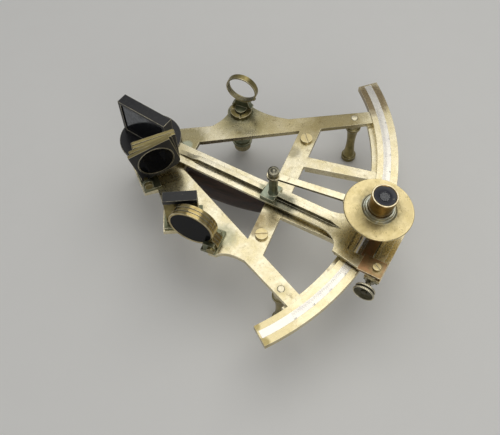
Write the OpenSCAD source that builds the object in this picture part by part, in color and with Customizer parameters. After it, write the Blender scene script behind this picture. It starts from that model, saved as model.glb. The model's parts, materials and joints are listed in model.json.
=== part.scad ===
// Marine sextant with a ladder-pattern brass frame, lying face up on its three legs.
// Every length is in millimetres. The index axis stands at pivot_y, the frame's face at stand_h.

/* [Arc and frame] */
// Outer radius of the graduated limb
arc_r = 202.5; // [198:0.5:206]
// Width of the graduated limb
arc_w = 17; // [15:1:18]
// Half of the angle that the limb spans
arc_half = 40.9; // [39:0.1:43]
// Thickness of the cast frame
frame_t = 4; // [3.5:0.5:4.5]
// Depth of the stiffening ribs under the frame
rib_d = 7; // [4:1:8]
// Height of the frame's face above the table
stand_h = 54; // [52:1:60]

/* [Index arm] */
// Width of the index arm's bar
arm_w = 17; // [14:1:18]
// Angle of the arm off the frame's centre line
arm_rest = -7.7; // [-8:0.1:6]
// Half width of the vernier plate at its outer edge
plate_half = 29; // [27:1:30]
// Radius of the black head plate
head_r = 25.4; // [24:0.2:25.4]

/* [Mirrors] */
// Length of the index mirror's frame
index_len = 47; // [42:0.5:47]
// Height of the index mirror's top above the frame's face
index_top = 42.5; // [40:0.5:46]
// Length of the horizon mirror's frame
horizon_len = 25.5; // [22:0.5:27]
// Height of the horizon mirror's top above the frame's face
horizon_top = 32; // [28:1:34]

/* [Shades] */
// Side of a square index shade
shade_side = 34.6; // [32:0.2:34.8]
// Clear radius of an index shade's glass
shade_glass_r = 13.8; // [12:0.2:14]
// Outer radius of a round horizon shade
ring_r = 18; // [16:0.5:18]

/* [Telescope ring] */
// Radius of the threaded hole that takes the telescope
tele_r = 12.3; // [12:0.1:12.6]
// Height of the telescope's axis above the frame's face
tele_z = 24; // [24:1:28]

/* [Magnifier] */
// Radius of the magnifier's disc
disc_r = 26; // [22:1:27]
// Height of the disc's centre above the frame's face
disc_z = 29; // [27:1:32]
// Lean of the magnifier's tube, outwards at its top
disc_tilt = 6.5; // [0:0.5:10]

/* [Hidden] */
$fn = 64;
eps = 0.01;
slack = 0.05;

// The index axis stands here in the part's own frame, whose origin is the middle of its footprint.
pivot_y = 96.8;

arc_in = arc_r - arc_w;
arc_top = 1;
scale_r = arc_r - 9;
scale_w = 6;

// The limbs' edges, as across = offset + slope * along, both measured from the index axis.
limb_out = [14.7, 0.532];
limb_in = [-4.9, 0.565];
web_a = 35.5;
bar_a0 = 109;
bar_a1 = 125;
apex_r = 24;
hub_r = 9.5;
hub_z = -22;
hub_top = 2.8;
axis_r = 6;
leg_pts = [[0, 17], [87, -147.5], [-87, -147.5]];
bracket_pts = [[50, -117.5], [-50, -117.5]];

// The telescope's boss.
tele_p = [58.6, -54.8];

// The arm lies over the screw heads.
arm_z = 3;
arm_t = 2.2;
arm_top = arm_z + arm_t;
rib_w = 4.4;
rib_h = 4.2;
rib_y0 = -24.5;
rib_low = 1.8;
plate_y0 = -176.5;
plate_y1 = -214;
rail_y = -217.8;
win_y0 = -185.5;
win_y1 = -208.5;
win_half = 15.5;
head_t = 1.6;
head_at = 1.6;
head_top = arm_top + head_t;

// The tangent screw runs outside the limb's edge.
screw_y = -210.5;
screw_z = -3;
screw_r = 2.5;
cap_at = [-21, -211.5];
clamp_at = [4, -199.5];

post_y = -114.5;
post_top = 29;
disc_at = [11.1, -195.3];
tube_r = 9.2;
tube_up = 20;
swing_t = 2.4;

// The beam from the index mirror to the horizon mirror gives the index shades their direction.
beam = -134.5;
mirror_dir = -102.7;
mirror_t = 9.4;
mirror_back = -2;
shade_s0 = 26;
shade_t = 2.8;
shade_pitch = 3.5;
shade_n = 4;
shade_c = [-3.7, 22.9];
shade_pin = [-18.2, 9];
// How far each index shade leans out from upright as it rests.
shade_lean = [0, 1, 8, 12];
shade_h = shade_side - 1.7;
pin_r = 1.5;

// The horizon mirror.
hor_p = [-59, -56.5];
hor_dir = -64.3;

// The horizon shades turn about a pin that lies along X.
ring_x = -75.5;
ring_c = [-71.8, 20];
ring_pin = [-89, 6.6];
ring_t = 2.9;
ring_wall = 1.7;
ring_pitch = 3.2;
ring_n = 3;

grip_z = -32;
grip_y0 = -25.5;
grip_y1 = -115.5;

brass = "#b9a968";
dark_brass = "#7d7446";
black = "#2a2a2e";
silver = "#c9c6d2";
glass = "#20242c";
ebony = "#241c1a";

function limb_x(edge, a) = edge[0] + edge[1] * a;
function bend(p0, p1, p2, n = 10) =
    [for (i = [0 : n]) let (t = i / n) (1 - t) ^ 2 * p0 + 2 * t * (1 - t) * p1 + t ^ 2 * p2];
function on_beam(s, v) =
    [s * cos(beam) + v * cos(beam + 90), s * sin(beam) + v * sin(beam + 90)];

// Stands whatever is drawn about the index axis in the part's own frame.
module place() { translate([0, pivot_y, stand_h]) children(); }
module on_arm() { place() rotate([0, 0, arm_rest]) children(); }

// A stretch of the limb between two radii and two heights.
module arc_strip(r0, r1, z0, z1, half) {
    rotate([0, 0, -90 - half]) rotate_extrude(angle = 2 * half, $fn = 240)
        translate([r0, z0]) square([r1 - r0, z1 - z0]);
}

module both_sides() { children(); mirror([1, 0, 0]) children(); }

// A round milled head with a ridge at each step of its rim.
module milled(r, h, n = 24, depth = 0.5) {
    linear_extrude(h) polygon([for (i = [0 : 2 * n - 1])
        let (a = i * 180 / n, q = i % 2 == 0 ? r : r - depth) [q * cos(a), q * sin(a)]]);
}

// A slotted cheese-head screw, head up, its seat at z = 0.
module cheese_screw(r, h, shank_r, shank) {
    difference() {
        union() {
            cylinder(r = r, h = h);
            if (shank > 0) translate([0, 0, -shank]) cylinder(r = shank_r, h = shank + eps);
        }
        translate([-r - 1, -0.5, h - 1]) cube([2 * r + 2, 1, 2]);
    }
}

// Frame

module limb_shape() {
    a1 = 178;
    polygon([[limb_x(limb_in, web_a), -web_a], [limb_x(limb_in, a1), -a1],
        [limb_x(limb_out, a1), -a1], [limb_x(limb_out, 4), -4], [0, 0], [0, -web_a]]);
}

module radial_bar_shape(x0, x1) {
    polygon([[x0, -bar_a0 - 4], [x0 + 11, -bar_a0 - 4], [x1 + 8.2, -188], [x1, -188]]);
}

// The flared web that carries the telescope's boss.
module boss_web_shape() {
    foot0 = [limb_x(limb_out, 38), -38];
    foot1 = [limb_x(limb_out, 96), -96];
    translate(tele_p) circle(r = 11.5);
    polygon(concat(bend(foot0, [50, -48.5], tele_p + [2, 11.2]),
        bend(tele_p + [8.5, -7.7], [62, -76.5], foot1), [[40, -72]]));
}

// The pads that carry the two mirror and shade brackets on the other limb.
module bracket_pads_shape() {
    translate(hor_p) rotate([0, 0, hor_dir]) translate([-16, -10]) square([32, 24]);
    polygon(concat([[-40, -72]], bend([-56, -76], [-72, -78], [-79, -86]),
        bend([-79, -92], [-72, -97], [-limb_x(limb_out, 114), -114]), [[-60, -104]]));
    polygon([on_beam(16, -23), on_beam(45.5, -23), on_beam(47, -12), [-53.3, -36], [-58, -56],
        on_beam(20, 10)]);
}

module frame_shape() {
    intersection() {
        union() {
            both_sides() limb_shape();
            radial_bar_shape(21.2, 31.3);
            mirror([1, 0, 0]) radial_bar_shape(17.6, 27.4);
            circle(r = apex_r);
            translate([-limb_x(limb_in, bar_a1) - 2, -bar_a1])
                square([2 * limb_x(limb_in, bar_a1) + 4, bar_a1 - bar_a0]);
            boss_web_shape();
            bracket_pads_shape();
        }
        circle(r = arc_in, $fn = 240);
    }
}

module rib_line(p0, p1, w = 3) {
    d = p1 - p0;
    translate([p0[0], p0[1], -frame_t - rib_d]) rotate([0, 0, atan2(d[1], d[0])])
        translate([0, -w / 2, 0]) cube([norm(d), w, rib_d + eps]);
}

module frame() {
    color(brass) place() difference() {
        union() {
            translate([0, 0, -frame_t]) linear_extrude(frame_t) frame_shape();
            translate([0, 0, hub_z]) cylinder(r = hub_r, h = hub_top - hub_z);
            cylinder(r = 15, h = hub_top);
            both_sides() rib_line([22, -33.5], [79.5, -133.5]);
            rib_line([27.5, -bar_a1], [35.5, -184.5]);
            rib_line([-24, -bar_a1], [-31.5, -184.5]);
            arc_strip(arc_in - 4, arc_in + 4, -frame_t - 4, -frame_t, arc_half - 8);
        }
        translate([0, 0, hub_z - 1]) cylinder(r = axis_r + slack, h = hub_top - hub_z + 2);
        for (p = leg_pts) translate([p[0], p[1], -20]) cylinder(r = 2.5 + slack, h = 30);
        for (p = bracket_pts) translate([p[0], p[1], -20]) cylinder(r = 2 + slack, h = 30);
        translate([tele_p[0], tele_p[1], -20]) cylinder(r = 8 + slack, h = 30);
    }
}

module arc_limb() {
    color(brass) place() difference() {
        arc_strip(arc_in, arc_r, -frame_t, arc_top, arc_half);
        arc_strip(scale_r - scale_w / 2, scale_r + scale_w / 2, arc_top - 0.6, arc_top + 1,
            arc_half - 0.4);
    }
}

module silver_scale() {
    color(silver) place()
        arc_strip(scale_r - scale_w / 2, scale_r + scale_w / 2, arc_top - 0.6, arc_top,
            arc_half - 0.4);
}

// A turned leg: a stud through the frame, a collar, a waist and a round foot.
module leg() {
    bottom = -stand_h;
    rotate_extrude() polygon(concat(
        [[0, bottom], [5.4, bottom], [6.4, bottom + 1.2], [6.4, bottom + 5], [5, bottom + 6.4]],
        [for (i = [0 : 8]) let (t = i / 8) [3.6 + 1.4 * (2 * t - 1) ^ 2, bottom + 7 + t * 32]],
        [[6, -13.4], [6.6, -12], [6.6, -frame_t - rib_d + 1], [5.5, -9], [5.5, -frame_t]],
        [[2.5, -frame_t], [2.5, 0], [3, 0], [2.4, 0.5], [0, 0.6]]));
}

module legs() { color(brass) place() for (p = leg_pts) translate([p[0], p[1], 0]) leg(); }

// The grip swells in its middle and carries a turned bead at each end.
module grip() {
    n = 18;
    len = grip_y0 - grip_y1;
    color(ebony) place() translate([0, grip_y0, grip_z]) rotate([90, 0, 0]) rotate_extrude()
        polygon(concat([[0, 0], [9, 0], [10.6, 1.2], [10.6, 3.4], [9.2, 4.6]],
            [for (i = [0 : n]) let (t = i / n)
                [9 + 3.6 * sin(180 * t) ^ 0.9, 5 + t * (len - 10)]],
            [[9.2, len - 4.6], [10.6, len - 3.4], [10.6, len - 1.2], [9, len], [0, len]]));
}

module grip_bracket() {
    color(dark_brass) place() difference() {
        union() {
            translate([-57, -120, -frame_t - 3]) cube([114, 10, 3]);
            for (y = [grip_y0, grip_y1 - 4]) {
                translate([-6, y, grip_z]) cube([12, 4, -grip_z - frame_t - 3 + eps]);
                translate([0, y + 4, grip_z]) rotate([90, 0, 0]) cylinder(r = 6, h = 4);
            }
            translate([-9, -33, -frame_t - 3]) cube([18, 14, 3]);
        }
        for (p = bracket_pts) translate([p[0], p[1], -20]) cylinder(r = 2 + slack, h = 30);
    }
}

module bracket_screws() {
    color(brass) place() for (i = [0, 1]) translate([bracket_pts[i][0], bracket_pts[i][1], 0])
        rotate([0, 0, 35 + 80 * i]) cheese_screw(5, 2.4, 2, frame_t + 6);
}

// Index arm

module index_axis() {
    color(dark_brass) on_arm() {
        translate([0, 0, hub_z - 0.15]) cylinder(r = axis_r, h = arm_z - hub_z + 0.15);
        translate([0, 0, -27]) cylinder(r = 4, h = 10);
        translate([0, 0, arm_z - 1]) cylinder(r = 4, h = arm_t + 1);
    }
}

module axis_nut() {
    color(brass) on_arm() translate([0, 0, hub_z - 3.9]) difference() {
        cylinder(r = 8.4, h = 3.75, $fn = 6);
        translate([0, 0, -1]) cylinder(r = 4 + slack / 2, h = 6);
    }
}

module arm_shape() {
    inner = plate_half * 0.77;
    circle(r = 20);
    translate([-arm_w / 2, plate_y0 - 2]) square([arm_w, -plate_y0 + 2]);
    both_sides() polygon(concat([[0, plate_y1], [plate_half, plate_y1], [inner, plate_y0]],
        bend([inner, plate_y0], [arm_w / 2 + 1, plate_y0 + 1], [arm_w / 2, plate_y0 + arm_w]),
        [[0, plate_y0 + arm_w]]));
}

module index_arm() {
    color(brass) on_arm() difference() {
        union() {
            translate([0, 0, arm_z]) linear_extrude(arm_t) arm_shape();
            rotate([90, 0, 90]) translate([0, 0, -rib_w / 2]) linear_extrude(rib_w) {
                polygon([[rib_y0, arm_z + 1], [rib_y0, arm_top], [rib_y0 - 10, arm_top + rib_low],
                    [rib_y0 - 16.5, arm_top + rib_low], [rib_y0 - 22, arm_top + rib_h],
                    [post_y + 8.2, arm_top + rib_h], [post_y + 8.2, arm_z + 1]]);
                polygon([[post_y - 4.4, arm_z + 1], [post_y - 4.4, arm_top + rib_h],
                    [plate_y0 + 12, arm_top + rib_h], [plate_y0 + 2, arm_top],
                    [plate_y0 + 2, arm_z + 1]]);
            }
            for (x = [-23, 18]) translate([x, plate_y0 - 26, arc_top + 0.4])
                cube([5, 24, arm_z - arc_top - 0.4 + eps]);
        }
        translate([0, 0, -1]) cylinder(r = 4 + slack / 2, h = 20);
        translate([-win_half, win_y1, 0]) cube([2 * win_half, win_y0 - win_y1, 20]);
    }
}

module head_plate() {
    color(black) on_arm() translate([0, head_at, arm_top]) cylinder(r = head_r, h = head_t);
}

// The silver vernier hangs under the plate and comes down to a bevelled edge by the scale.
module vernier_scale() {
    z0 = arc_top + 0.3;
    half = win_half + 2.3;
    inner = -189.6;
    edge = 0.4 - scale_r;
    color(silver) on_arm() rotate([90, 0, 90]) translate([0, 0, -half]) linear_extrude(2 * half)
        polygon([[inner, z0], [edge, z0], [edge, z0 + 0.3], [edge + 2.2, arm_z], [inner, arm_z]]);
}

module on_mirror() {
    place() rotate([0, 0, mirror_dir]) translate([0, mirror_back, 0]) children();
}

module index_mirror_frame() {
    h = index_top - head_top;
    color(black) on_mirror() difference() {
        translate([-index_len / 2, -mirror_t / 2, head_top]) cube([index_len, mirror_t, h]);
        translate([-index_len / 2 + 2.4, -mirror_t / 2 - 1, head_top + 3])
            cube([index_len - 4.8, mirror_t / 2 + 0.8, h - 6]);
        for (x = [-12, 12]) translate([x, 0, head_top + h / 2]) rotate([-90, 0, 0])
            cylinder(r = 1.5 + slack, h = 10);
    }
}

module index_mirror_glass() {
    h = index_top - head_top;
    color("#39424a") on_mirror()
        translate([-index_len / 2 + 2.5, -3.6, head_top + 3.1]) cube([index_len - 5, 3.3, h - 6.2]);
}

module index_mirror_screws() {
    color(brass) on_mirror() for (x = [-12, 12])
        translate([x, mirror_t / 2, (index_top + head_top) / 2]) rotate([-90, 0, 0])
            cheese_screw(2.6, 1.8, 1.5, 3);
}

// Tangent screw and clamp

module outer_rail() {
    color(brass) on_arm() translate([-plate_half - 0.5, rail_y, 1.5]) {
        cube([2 * plate_half + 2, 12.2, arm_z - 1.5]);
        cube([2 * plate_half + 2, plate_y1 - rail_y, 2.9]);
    }
}

module tangent_bearing() {
    color(dark_brass) on_arm() difference() {
        translate([-25.5, screw_y - 5.5, screw_z - 5]) cube([8.5, 11, 1.5 - screw_z + 5]);
        translate([-40, screw_y, screw_z]) rotate([0, 90, 0]) cylinder(r = screw_r + slack, h = 40);
    }
}

module bearing_cap() {
    color("#8a5a42") on_arm() difference() {
        translate([-28.4, rail_y + 0.2, arm_top]) cube([14, 18.6, 2.2]);
        translate([cap_at[0], cap_at[1], 0]) cylinder(r = 1.6 + slack, h = 20);
    }
}

module cap_screw() {
    color(brass) on_arm() translate([cap_at[0], cap_at[1], arm_top + 2.2]) rotate([0, 0, 60])
        cheese_screw(3.1, 2, 1.6, 2.1);
}

// The tangent screw: a plain journal, a shaft that goes on to the clamp's nut, and a milled head.
module tangent_screw() {
    color(brass) on_arm() translate([-33, screw_y, screw_z]) rotate([0, 90, 0]) {
        cylinder(r = screw_r, h = 60);
        translate([0, 0, 5]) cylinder(r = 4, h = 2.1);
        translate([0, 0, -6.5]) {
            milled(9.6, 1.6, 36, 0.4);
            translate([0, 0, 1.6]) cylinder(r = 6.4, h = 1.8);
            translate([0, 0, 3.4]) milled(9, 1.4, 36, 0.4);
            translate([0, 0, 4.8]) cylinder(r = 4, h = 1.8);
        }
    }
}

// The clamp reaches round the limb's outer edge and under it, and holds the tangent screw's nut.
module clamp_block() {
    color(dark_brass) on_arm() difference() {
        union() {
            translate([-7, -216, -14]) cube([22, 12.9, 14.6]);
            translate([-7, -216, -14]) cube([22, 23.5, 9]);
        }
        translate([-20, screw_y, screw_z]) rotate([0, 90, 0]) cylinder(r = screw_r + 0.7, h = 60);
        translate([clamp_at[0], clamp_at[1], -20]) cylinder(r = 2 + slack, h = 20);
    }
}

module clamp_screw() {
    color(brass) on_arm() translate([clamp_at[0], clamp_at[1], -14]) {
        translate([0, 0, -8]) milled(7, 5, 30, 0.4);
        translate([0, 0, -3]) cylinder(r = 4, h = 2.8);
        translate([0, 0, -4]) cylinder(r = 2, h = 13.6);
    }
}

// Magnifier

module magnifier_post() {
    color(dark_brass) on_arm() translate([0, post_y, 0]) {
        translate([-7.5, -4.2, arm_top]) cube([15, 12.2, 3.4]);
        translate([0, 0, arm_top + 3]) cylinder(r = 3.5, h = post_top - arm_top - 3);
        translate([0, 0, arm_top + 3.2]) cylinder(r1 = 4.2, r2 = 3.5, h = 2.4);
        translate([0, 0, post_top - 1]) cylinder(r = 2.5, h = 4);
    }
}

module post_knob() {
    color(brass) on_arm() translate([0, post_y, post_top + 2.9]) rotate_extrude()
        polygon([[0, 0.1], [3.2, 0.1], [3.2, 1], [4.4, 1.6], [4.4, 4.6], [3.6, 5.4], [0, 6]]);
}

swing_len = norm([disc_at[0], disc_at[1] - post_y]);
swing_dir = atan2(disc_at[1] - post_y, disc_at[0]);

module on_disc() {
    on_arm() translate([disc_at[0], disc_at[1], disc_z]) rotate([disc_tilt, 0, 0]) children();
}

module magnifier_arm() {
    reach = swing_len - disc_r + 2.6;
    color(brass) {
        on_arm() translate([0, post_y, post_top + 0.2]) rotate([0, 0, swing_dir]) difference() {
            union() {
                cylinder(r = 5.2, h = swing_t);
                translate([0, -2.8, 0]) cube([reach, 5.6, swing_t]);
            }
            translate([0, 0, -1]) cylinder(r = 2.5 + slack, h = 6);
        }
        on_disc() rotate([0, 0, swing_dir + 90]) translate([-4.5, disc_r - 8.5, -swing_t])
            cube([9, 8.5, swing_t]);
    }
}

module magnifier_disc() {
    color(brass) on_disc() difference() {
        union() {
            cylinder(r = disc_r, h = 1.6, $fn = 96);
            cylinder(r = 13, h = 3.4);
            cylinder(r = 11.4, h = 5);
            translate([0, 0, -4]) cylinder(r = 11, h = 4.1);
        }
        translate([0, 0, -6]) cylinder(r = tube_r + slack, h = 20);
    }
}

module magnifier_tube() {
    color(brass) on_disc() difference() {
        union() {
            translate([0, 0, -9]) cylinder(r = tube_r, h = tube_up + 9);
            translate([0, 0, tube_up - 1.6]) cylinder(r = tube_r + 0.5, h = 1.6);
        }
        translate([0, 0, -10]) cylinder(r = tube_r - 1.2, h = tube_up + 12);
    }
}

module eyepiece_cap() {
    color(black) on_disc() translate([0, 0, tube_up - 3]) difference() {
        cylinder(r = tube_r - 1.2, h = 2.6);
        translate([0, 0, -1]) cylinder(r = 3.6, h = 5);
        translate([0, 0, 1.2]) cylinder(r1 = 3.6, r2 = 5, h = 1.5);
    }
}

module magnifier_lens() {
    color(glass) on_disc() {
        translate([0, 0, tube_up - 2.4]) cylinder(r = 3.6, h = 1);
        translate([0, 0, -7]) cylinder(r = tube_r - 1.2, h = 1.8);
    }
}

// Horizon mirror

module at_horizon() {
    place() translate([hor_p[0], hor_p[1], 0]) rotate([0, 0, hor_dir]) children();
}

module horizon_base() {
    color(dark_brass) at_horizon() difference() {
        translate([-15, -9, 0]) cube([30, 20, 2.6]);
        for (x = [-9, 9]) translate([x, 7.4, -1]) cylinder(r = 1.6 + slack, h = 5);
    }
}

module horizon_mirror_frame() {
    l = horizon_len;
    top = horizon_top - 4;
    color(brass) at_horizon() {
        translate([-l / 2, -4.2, 2.6]) cube([l, 8.4, 2]);
        for (x = [-l / 2, l / 2 - 2.4]) translate([x, -3.4, 4]) cube([2.4, 6.8, top - 4]);
        translate([-l / 2, -3.4, 4]) cube([l, 1.6, top - 4]);
    }
}

module horizon_cap() {
    color(black) at_horizon()
        translate([-horizon_len / 2, -4.4, horizon_top - 4]) cube([horizon_len, 8.8, 4]);
}

module horizon_mirror_glass() {
    l = horizon_len - 4.8;
    color("#39424a") at_horizon()
        translate([-l / 2, -1.4, 4.6]) cube([l, 2.6, horizon_top - 8.6]);
}

module horizon_screws() {
    color(brass) at_horizon() {
        for (x = [-9, 9]) translate([x, 7.4, 2.6]) cheese_screw(2.7, 1.6, 1.6, 2.6);
        translate([0, 7.4, 2.6]) {
            cylinder(r = 2, h = 3);
            translate([0, 0, 3]) milled(3.4, 3, 16, 0.4);
        }
    }
}

// Index shades

module at_beam() { place() rotate([0, 0, beam]) rotate([90, 0, 90]) children(); }

// A shade's outline, its lower inner corner well rounded to pass over the arm.
module shade_blank(w, h, corner, free_corner) {
    module rounded(x, y, r) {
        translate([x * (w / 2 - r), y > 0 ? y - r : r]) circle(r = r, $fn = 32);
    }
    difference() {
        translate([-w / 2, 0]) square([w, h]);
        for (x = [-w, w]) translate([x / 2, h]) square(2 * corner, center = true);
        translate([-w / 2, 0]) square(2 * corner, center = true);
        translate([w / 2, 0]) square(2 * free_corner, center = true);
    }
    for (x = [-1, 1]) rounded(x, h, corner);
    rounded(-1, 0, corner);
    rounded(1, 0, free_corner);
}

// A shade is drawn about its pin, X across the beam and Y up, and turned to where it rests.
function shade_s(i) = shade_s0 + i * shade_pitch;

module at_shade(i) {
    at_beam() translate([shade_pin[0], shade_pin[1], shade_s(i)]) rotate([0, 0, shade_lean[i]])
        children();
}

glass_at = shade_c - shade_pin;

module index_shade(i) {
    color(black) at_shade(i) difference() {
        union() {
            linear_extrude(shade_t)
                translate([glass_at[0], glass_at[1] + shade_side / 2 - shade_h])
                shade_blank(shade_side, shade_h, 0.9, 7);
            cylinder(r = 3.4, h = shade_t);
            translate([glass_at[0], glass_at[1], -0.15])
                cylinder(r = shade_glass_r + 0.8, h = shade_t + 0.3);
        }
        translate([glass_at[0], glass_at[1], -1]) cylinder(r = shade_glass_r, h = 8);
        translate([0, 0, -1]) cylinder(r = pin_r + slack, h = 8);
    }
}

module index_glass(i) {
    color(glass) at_shade(i) translate([glass_at[0], glass_at[1], 0.6])
        cylinder(r = shade_glass_r, h = 1.8);
}

shade_s_end = shade_s(shade_n - 1) + shade_t;
bracket_s0 = shade_s0 - 2.6;
bracket_s1 = shade_s_end + 6.8;

// A base on the frame's pad with a lug at each end of the pin.
module index_shade_bracket() {
    color(dark_brass) at_beam() difference() {
        union() {
            translate([shade_pin[0] - 4, 0, bracket_s0]) cube([14, 2.4, bracket_s1 - bracket_s0]);
            for (s = [bracket_s0, bracket_s1 - 2.6]) {
                translate([shade_pin[0] - 4, 0, s]) cube([8, shade_pin[1], 2.6 - 0.4]);
                translate([shade_pin[0], shade_pin[1], s]) cylinder(r = 4, h = 2.6 - 0.4);
            }
        }
        translate([shade_pin[0], shade_pin[1], 0]) cylinder(r = pin_r + slack, h = 60);
    }
}

module index_shade_pin() {
    color(brass) at_beam() translate([shade_pin[0], shade_pin[1], 0]) {
        translate([0, 0, bracket_s0]) cylinder(r = pin_r, h = bracket_s1 - bracket_s0);
        translate([0, 0, bracket_s1 - 0.4]) cylinder(r = 3.2, h = 2.2);
    }
}

// Horizon shades

module across_x() { place() rotate([90, 0, 90]) children(); }

module horizon_shade(i) {
    color(brass) across_x() translate([0, 0, ring_x + i * ring_pitch]) difference() {
        union() {
            translate(ring_c) cylinder(r = ring_r, h = ring_t);
            linear_extrude(ring_t) hull() {
                translate(ring_pin) circle(r = 3.8, $fn = 32);
                translate(ring_pin + 0.3 * (ring_c - ring_pin)) circle(r = 5, $fn = 32);
            }
        }
        translate([ring_c[0], ring_c[1], -1]) cylinder(r = ring_r - ring_wall, h = 8);
        translate([ring_pin[0], ring_pin[1], -1]) cylinder(r = pin_r + slack, h = 8);
    }
}

module horizon_glass(i) {
    color(glass) across_x() translate([ring_c[0], ring_c[1], ring_x + i * ring_pitch + 0.5])
        cylinder(r = ring_r - ring_wall - 0.02, h = 1.9);
}

ring_x_end = ring_x + (ring_n - 1) * ring_pitch + ring_t;

module horizon_shade_bracket() {
    color(dark_brass) place() difference() {
        union() {
            translate([-79.4, -92, 0]) cube([21.4, 12, 2.2]);
            translate([ring_x_end + 0.4, -91, 0]) cube([3, 9, 10.6]);
            translate([ring_x - 3.4, -91, 0]) cube([3, 9, 10.6]);
        }
        translate([-90, ring_pin[0], ring_pin[1]]) rotate([0, 90, 0])
            cylinder(r = pin_r + slack, h = 60);
    }
}

module horizon_shade_pin() {
    color(brass) across_x() translate(ring_pin) {
        translate([0, 0, ring_x - 3.4]) cylinder(r = pin_r, h = ring_x_end - ring_x + 6.8);
        translate([0, 0, ring_x - 5.6]) cylinder(r = 3.2, h = 2.2);
    }
}

// Telescope ring

module at_tele() { place() translate([tele_p[0], tele_p[1], 0]) children(); }

socket_z = -38;
stem_r = 4.5;
rise_r = 2.2;
foot_z = 3.8;
foot_h = 12.4;
ring_at = 1.9;
ring_len = 5.2;
ring_edge = 1.15;

module telescope_socket() {
    color(dark_brass) at_tele() difference() {
        union() {
            translate([0, 0, socket_z]) cylinder(r = 8, h = -socket_z);
            translate([0, 0, -frame_t - 3]) cylinder(r = 11, h = 3);
            translate([0, 0, socket_z]) cylinder(r = 9, h = 3);
        }
        translate([0, 0, socket_z + 1.6]) cylinder(r = stem_r + slack, h = 60);
        translate([0, 0, socket_z - 1]) cylinder(r = rise_r + slack, h = 10);
    }
}

module socket_nut() {
    color(brass) at_tele() difference() {
        cylinder(r = 9.2, h = 2.6);
        translate([0, 0, -1]) cylinder(r = stem_r + 0.4, h = 6);
        for (a = [0, 90]) rotate([0, 0, a + 20]) translate([-12, -0.9, 1.6]) cube([24, 1.8, 2]);
    }
}

// The rising piece: a stem that slides in the socket, its round head, and a foot that flares below
// the ring. The ring stands towards the observer, off the stem.
module telescope_stem() {
    foot = bend([9, foot_z + 1.2], [6.2, foot_z + 2], [5.6, foot_h]);
    color(dark_brass) at_tele() difference() {
        union() {
            translate([0, 0, -29]) cylinder(r = stem_r, h = 29 + foot_z + eps);
            translate([0, 0, foot_z]) cylinder(r = 5, h = 1);
            translate([ring_at, 0, 0]) rotate([90, 0, 90]) linear_extrude(ring_len)
                both_sides() polygon(concat([[0, foot_z], [9, foot_z]], foot, [[0, foot_h]]));
        }
        translate([-10, 0, tele_z]) rotate([0, 90, 0]) cylinder(r = tele_r + ring_edge, h = 30);
        translate([0, 0, -30]) cylinder(r = rise_r + 0.1, h = 32);
    }
}

module telescope_collar() {
    color(brass) at_tele() translate([ring_at, 0, tele_z]) rotate([0, 90, 0]) difference() {
        cylinder(r = tele_r + ring_edge, h = ring_len);
        translate([0, 0, -1]) cylinder(r = tele_r, h = ring_len + 2);
    }
}

module collar_screws() {
    color(brass) at_tele() for (a = [130, -130]) translate([ring_at + ring_len / 2, 0, tele_z])
        rotate([a, 0, 0]) translate([0, 0, tele_r + ring_edge]) cheese_screw(1.5, 1.3, 1, 0);
}

module milled_nut() {
    color(brass) at_tele() translate([0, 0, socket_z]) {
        translate([0, 0, -8]) milled(7.5, 5.6, 30, 0.5);
        translate([0, 0, -2.5]) cylinder(r = 5, h = 2.3);
        translate([0, 0, -4]) cylinder(r = rise_r, h = 30);
    }
}

frame();
arc_limb();
silver_scale();
legs();
grip();
grip_bracket();
bracket_screws();
index_axis();
axis_nut();
index_arm();
head_plate();
vernier_scale();
index_mirror_frame();
index_mirror_glass();
index_mirror_screws();
outer_rail();
tangent_bearing();
bearing_cap();
cap_screw();
tangent_screw();
clamp_block();
clamp_screw();
magnifier_post();
post_knob();
magnifier_arm();
magnifier_disc();
magnifier_tube();
eyepiece_cap();
magnifier_lens();
horizon_base();
horizon_mirror_frame();
horizon_cap();
horizon_mirror_glass();
horizon_screws();
index_shade_bracket();
index_shade_pin();
index_shade(0);  // index_shade_1
index_shade(1);  // index_shade_2
index_shade(2);  // index_shade_3
index_shade(3);  // index_shade_4
index_glass(0);  // index_glass_1
index_glass(1);  // index_glass_2
index_glass(2);  // index_glass_3
index_glass(3);  // index_glass_4
horizon_shade_bracket();
horizon_shade_pin();
horizon_shade(0);  // horizon_shade_1
horizon_shade(1);  // horizon_shade_2
horizon_shade(2);  // horizon_shade_3
horizon_glass(0);  // horizon_glass_1
horizon_glass(1);  // horizon_glass_2
horizon_glass(2);  // horizon_glass_3
telescope_socket();
socket_nut();
telescope_stem();
telescope_collar();
collar_screws();
milled_nut();
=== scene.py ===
"""A marine sextant in aged brass: its pieces, finishes, table, lamps and camera."""

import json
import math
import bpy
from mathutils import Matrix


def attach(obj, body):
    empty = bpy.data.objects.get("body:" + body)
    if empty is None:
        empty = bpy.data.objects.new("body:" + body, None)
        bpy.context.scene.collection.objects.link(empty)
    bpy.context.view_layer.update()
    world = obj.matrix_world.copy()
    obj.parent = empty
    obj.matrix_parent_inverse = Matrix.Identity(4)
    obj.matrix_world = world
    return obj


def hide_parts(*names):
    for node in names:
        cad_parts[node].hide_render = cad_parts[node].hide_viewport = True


bl_info = {
    "name": "Marine Sextant",
    "version": (1, 0, 0),
    "blender": (4, 5, 0),
    "location": "3D View > Sidebar > Sextant",
    "description": "Dresses the packed model of a marine sextant",
    "category": "Object",
}

import bpy
from mathutils import Matrix, Vector

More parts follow.
